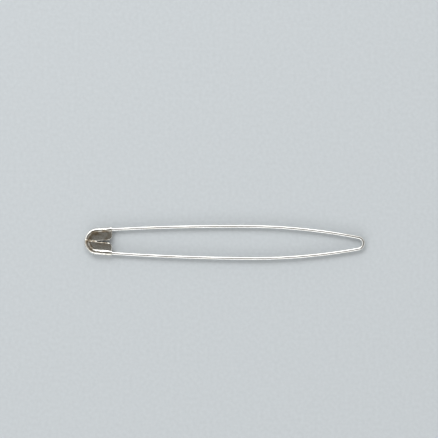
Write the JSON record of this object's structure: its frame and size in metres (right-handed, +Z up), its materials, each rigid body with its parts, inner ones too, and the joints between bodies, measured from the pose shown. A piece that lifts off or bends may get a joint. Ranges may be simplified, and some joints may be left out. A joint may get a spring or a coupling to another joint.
{
  "type": "stitch holder",
  "caption": "Long safety-pin-like knitting stitch holder: a bowed spring wire bent into two legs, with a stamped sheet cap that latches the free leg.",
  "frame": {"origin": "middle of the closed holder's length and width, on the flat outer face of the cap's flap, which is the lowest face", "axes": "+X along the legs from the cap to the bend, +Y from the free leg to the fixed leg, +Z up from the flap to the lobes"},
  "size_m": [0.125, 0.0158, 0.0028],
  "materials": {
    "nickel_wire": "bright nickel plated spring steel wire",
    "nickel_sheet": "nickel plated stamped steel sheet"
  },
  "bodies": {
    "holder": {"cap": "nickel_sheet", "fixed_leg": "nickel_wire"},
    "bend": {"spring_bend": "nickel_wire"},
    "latch_leg": {"free_leg": "nickel_wire"}
  },
  "joints": [
    {"name": "leg_spread", "type": "hinge", "parent": "holder", "child": "bend", "pos_m": [0.05963, 0.00255, 0.00125], "axis": [0, 0, 1], "range_deg": [0, 24]},
    {"name": "leg_latch", "type": "hinge", "parent": "bend", "child": "latch_leg", "pos_m": [0.05963, -0.00255, 0.00125], "axis": [-0.976, -0.0021, -0.2178], "range_deg": [0, 360]}
  ],
  "couplings": [
    {"joint": "leg_spread", "follows": "leg_latch", "ratio": 0.066666}
  ]
}
